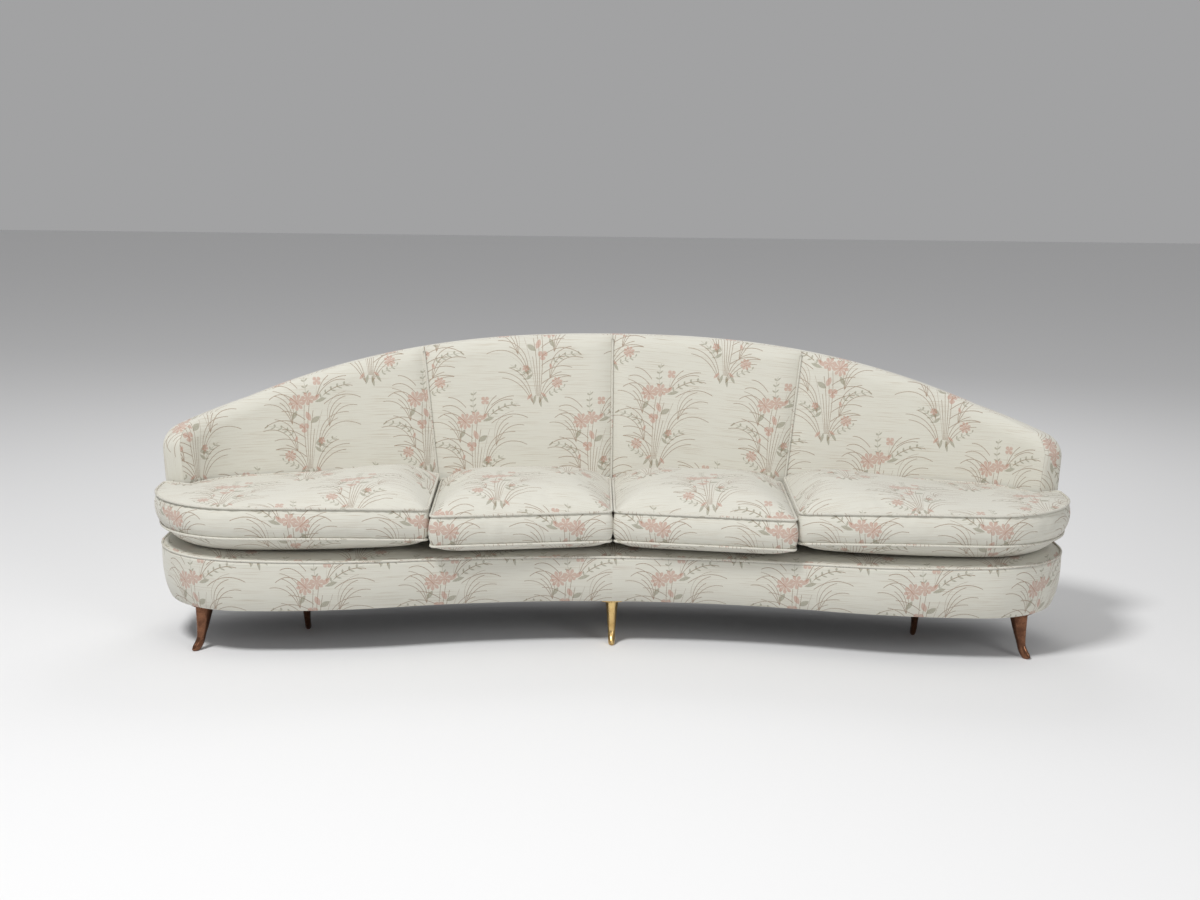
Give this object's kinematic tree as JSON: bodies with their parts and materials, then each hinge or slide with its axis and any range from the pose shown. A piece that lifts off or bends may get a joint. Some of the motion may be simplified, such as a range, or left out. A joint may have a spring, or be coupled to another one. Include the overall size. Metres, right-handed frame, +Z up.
{
  "type": "curved sofa",
  "caption": "Crescent sofa with an arched, panelled inside back, loose boxed seat cushions with piping, a tapering upholstered base and slim tapering metal legs.",
  "frame": {"origin": "on the floor, under the middle of the sofa's whole bounding box", "axes": "+X to the sitter's left (the right of the sofa as seen from the front), +Y from the open front to the back, +Z up"},
  "size_m": [2.8848, 0.8936, 0.9098],
  "materials": {
    "printed_linen": "matte",
    "printed_linen_piping": "matte",
    "deck_cloth": "matte",
    "foam_and_wadding": "matte",
    "jute_webbing": "matte",
    "dust_cloth": "matte",
    "beech": "matte",
    "golden_brass": "satin",
    "aged_brass": "satin"
  },
  "bodies": {
    "frame": {"apron_cover": "printed_linen", "apron_welt": "printed_linen_piping", "arm_post_left": "beech", "arm_post_right": "beech", "back_panel_middle_left": "printed_linen", "back_panel_middle_right": "printed_linen", "back_panel_outer_left": "printed_linen", "back_panel_outer_right": "printed_linen", "back_post_far_left": "beech", "back_post_far_right": "beech", "back_post_left": "beech", "back_post_middle": "beech", "back_post_right": "beech", "back_rail": "beech", "back_sill": "beech", "back_top_rail": "beech", "back_webbing": "jute_webbing", "border_band": "printed_linen", "cross_rail_far_left": "beech", "cross_rail_far_right": "beech", "cross_rail_left": "beech", "cross_rail_middle": "beech", "cross_rail_right": "beech", "deck_cover": "deck_cloth", "dust_cloth": "dust_cloth", "end_rail_left": "beech", "end_rail_right": "beech", "front_rail": "beech", "leg_block_front_left": "beech", "leg_block_front_middle": "beech", "leg_block_front_right": "beech", "leg_block_rear_left": "beech", "leg_block_rear_middle": "beech", "leg_block_rear_right": "beech", "leg_front_left": "aged_brass", "leg_front_middle": "golden_brass", "leg_front_right": "aged_brass", "leg_rear_left": "aged_brass", "leg_rear_middle": "golden_brass", "leg_rear_right": "aged_brass", "outside_cover": "printed_linen", "seam_welt_left": "printed_linen_piping", "seam_welt_middle": "printed_linen_piping", "seam_welt_right": "printed_linen_piping", "seat_pad": "foam_and_wadding", "seat_webbing": "jute_webbing"},
    "cushion_end_left": {"cushion_end_left": "printed_linen", "cushion_end_left_lower_welt": "printed_linen_piping", "cushion_end_left_upper_welt": "printed_linen_piping"},
    "cushion_middle_left": {"cushion_middle_left": "printed_linen", "cushion_middle_left_lower_welt": "printed_linen_piping", "cushion_middle_left_upper_welt": "printed_linen_piping"},
    "cushion_middle_right": {"cushion_middle_right": "printed_linen", "cushion_middle_right_lower_welt": "printed_linen_piping", "cushion_middle_right_upper_welt": "printed_linen_piping"},
    "cushion_end_right": {"cushion_end_right": "printed_linen", "cushion_end_right_lower_welt": "printed_linen_piping", "cushion_end_right_upper_welt": "printed_linen_piping"}
  },
  "joints": [
    {"name": "cushion_end_left_lift", "type": "slide", "parent": "frame", "child": "cushion_end_left", "axis": [0, 0, 1], "range_m": [0, 0.6]},
    {"name": "cushion_middle_left_lift", "type": "slide", "parent": "frame", "child": "cushion_middle_left", "axis": [0, 0, 1], "range_m": [0, 0.6]},
    {"name": "cushion_middle_right_lift", "type": "slide", "parent": "frame", "child": "cushion_middle_right", "axis": [0, 0, 1], "range_m": [0, 0.6]},
    {"name": "cushion_end_right_lift", "type": "slide", "parent": "frame", "child": "cushion_end_right", "axis": [0, 0, 1], "range_m": [0, 0.6]}
  ]
}
